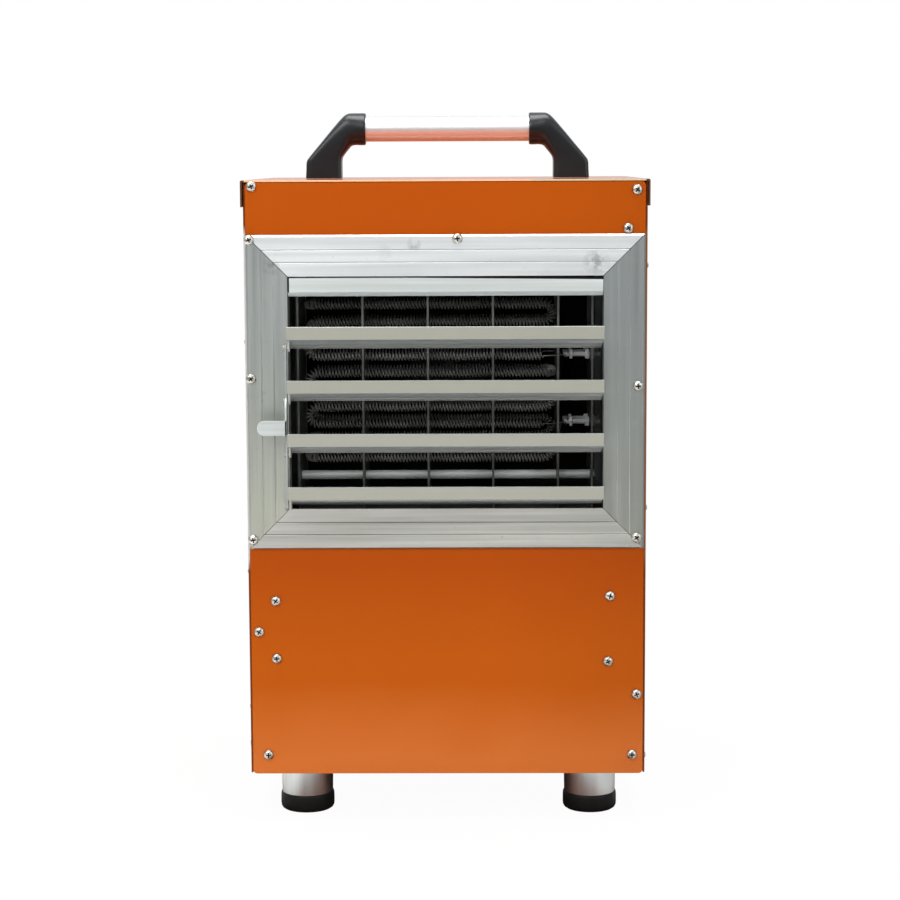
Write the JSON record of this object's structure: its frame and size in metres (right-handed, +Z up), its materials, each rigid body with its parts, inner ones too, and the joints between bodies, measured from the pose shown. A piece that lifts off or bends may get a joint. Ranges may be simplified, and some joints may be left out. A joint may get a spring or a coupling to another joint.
{
  "type": "forced air heater",
  "caption": "Portable forced air heater: sheet-metal case on legs, tube handle, aluminium outlet grille with linked louvres, open-coil element rack and rear axial fan.",
  "frame": {"origin": "bottom centre of the whole heater, on the floor under the middle of its bounding box", "axes": "+Z up, the front with the outlet grille faces -Y, +X to the right seen from the front"},
  "size_m": [0.3072, 0.3402, 0.5443],
  "materials": {
    "orange_paint": "glossy orange powder coat",
    "aluminium": "mill-finish extrusion",
    "bright_aluminium": "bright anodised tube",
    "zinc_steel": "galvanised sheet",
    "dark_steel": "heat-darkened steel",
    "heater_wire": "oxidised resistance wire",
    "black_plastic": "satin moulded",
    "rubber": "matt",
    "black_steel": "black coated",
    "grey_plastic": "matt moulded",
    "lamp_red": "clear red lens"
  },
  "bodies": {
    "heater_body": {"front_panel": "orange_paint", "rear_panel": "orange_paint", "side_panel_left": "orange_paint", "side_panel_right": "orange_paint", "top_cover": "orange_paint", "base_pan": "zinc_steel", "corner_post_front_left": "zinc_steel", "corner_post_front_right": "zinc_steel", "corner_post_rear_left": "zinc_steel", "corner_post_rear_right": "zinc_steel", "foot_leg_front_left": "bright_aluminium", "foot_leg_front_right": "bright_aluminium", "foot_leg_rear_left": "bright_aluminium", "foot_leg_rear_right": "bright_aluminium", "foot_cap_front_left": "rubber", "foot_cap_front_right": "rubber", "foot_cap_rear_left": "rubber", "foot_cap_rear_right": "rubber", "handle_bracket_left": "black_plastic", "handle_bracket_right": "black_plastic", "handle_tube": "bright_aluminium", "grille_bar_top": "aluminium", "grille_bar_bottom": "aluminium", "grille_bar_left": "aluminium", "grille_bar_right": "aluminium", "grille_filler_strip": "aluminium", "air_duct": "zinc_steel", "rack_end_plate": "dark_steel", "rack_support_plate_1": "dark_steel", "rack_support_plate_2": "dark_steel", "rack_support_plate_3": "dark_steel", "rack_support_plate_4": "dark_steel", "rack_terminal_plate": "dark_steel", "rack_tie_rod": "zinc_steel", "heating_coil_upper": "heater_wire", "heating_coil_lower": "heater_wire", "terminal_stud_1": "zinc_steel", "terminal_stud_2": "zinc_steel", "terminal_stud_3": "zinc_steel", "terminal_stud_4": "zinc_steel", "overheat_thermostat": "black_plastic", "fan_ring": "black_steel", "fan_guard": "black_steel", "fan_motor": "dark_steel", "divider_shelf": "zinc_steel", "gear_plate": "zinc_steel", "contactor": "grey_plastic", "terminal_block": "grey_plastic", "thermostat_body": "grey_plastic", "switch_body": "grey_plastic", "pilot_lamp": "lamp_red", "cable_gland": "black_plastic"},
    "louvre_1": {"louvre_blade_1": "aluminium"},
    "louvre_2": {"louvre_blade_2": "aluminium"},
    "louvre_3": {"louvre_blade_3": "aluminium"},
    "louvre_4": {"louvre_blade_4": "aluminium"},
    "link_bar": {"louvre_link_bar": "aluminium"},
    "rotor": {"fan_rotor": "black_plastic"},
    "thermostat_dial": {"thermostat_knob": "black_plastic"},
    "switch_dial": {"switch_knob": "black_plastic"}
  },
  "joints": [
    {"name": "louvre_2_tilt", "type": "hinge", "parent": "heater_body", "child": "louvre_2", "pos_m": [0, -0.1331, 0.33], "axis": [-1, 0, 0], "range_deg": [-18, 35]},
    {"name": "louvre_1_tilt", "type": "hinge", "parent": "heater_body", "child": "louvre_1", "pos_m": [0, -0.1331, 0.37], "axis": [-1, 0, 0], "range_deg": [-18, 35]},
    {"name": "louvre_3_tilt", "type": "hinge", "parent": "heater_body", "child": "louvre_3", "pos_m": [0, -0.1331, 0.29], "axis": [-1, 0, 0], "range_deg": [-18, 35]},
    {"name": "louvre_4_tilt", "type": "hinge", "parent": "heater_body", "child": "louvre_4", "pos_m": [0, -0.1331, 0.25], "axis": [-1, 0, 0], "range_deg": [-18, 35]},
    {"name": "link_bar_pivot", "type": "hinge", "parent": "louvre_2", "child": "link_bar", "pos_m": [-0.12, -0.1541, 0.327], "axis": [-1, 0, 0], "range_deg": [-36, 19]},
    {"name": "fan_spin", "type": "hinge", "parent": "heater_body", "child": "rotor", "pos_m": [0, 0.11, 0.332], "axis": [0, 1, 0], "continuous": true},
    {"name": "thermostat_turn", "type": "hinge", "parent": "heater_body", "child": "thermostat_dial", "pos_m": [-0.062, 0.155, 0.155], "axis": [0, 1, 0], "range_deg": [0, 270]},
    {"name": "switch_turn", "type": "hinge", "parent": "heater_body", "child": "switch_dial", "pos_m": [0.062, 0.155, 0.155], "axis": [0, 1, 0], "range_deg": [0, 90]}
  ],
  "couplings": [
    {"joint": "louvre_1_tilt", "follows": "louvre_2_tilt", "ratio": 1},
    {"joint": "louvre_3_tilt", "follows": "louvre_2_tilt", "ratio": 1},
    {"joint": "louvre_4_tilt", "follows": "louvre_2_tilt", "ratio": 1},
    {"joint": "link_bar_pivot", "follows": "louvre_2_tilt", "ratio": -1}
  ]
}
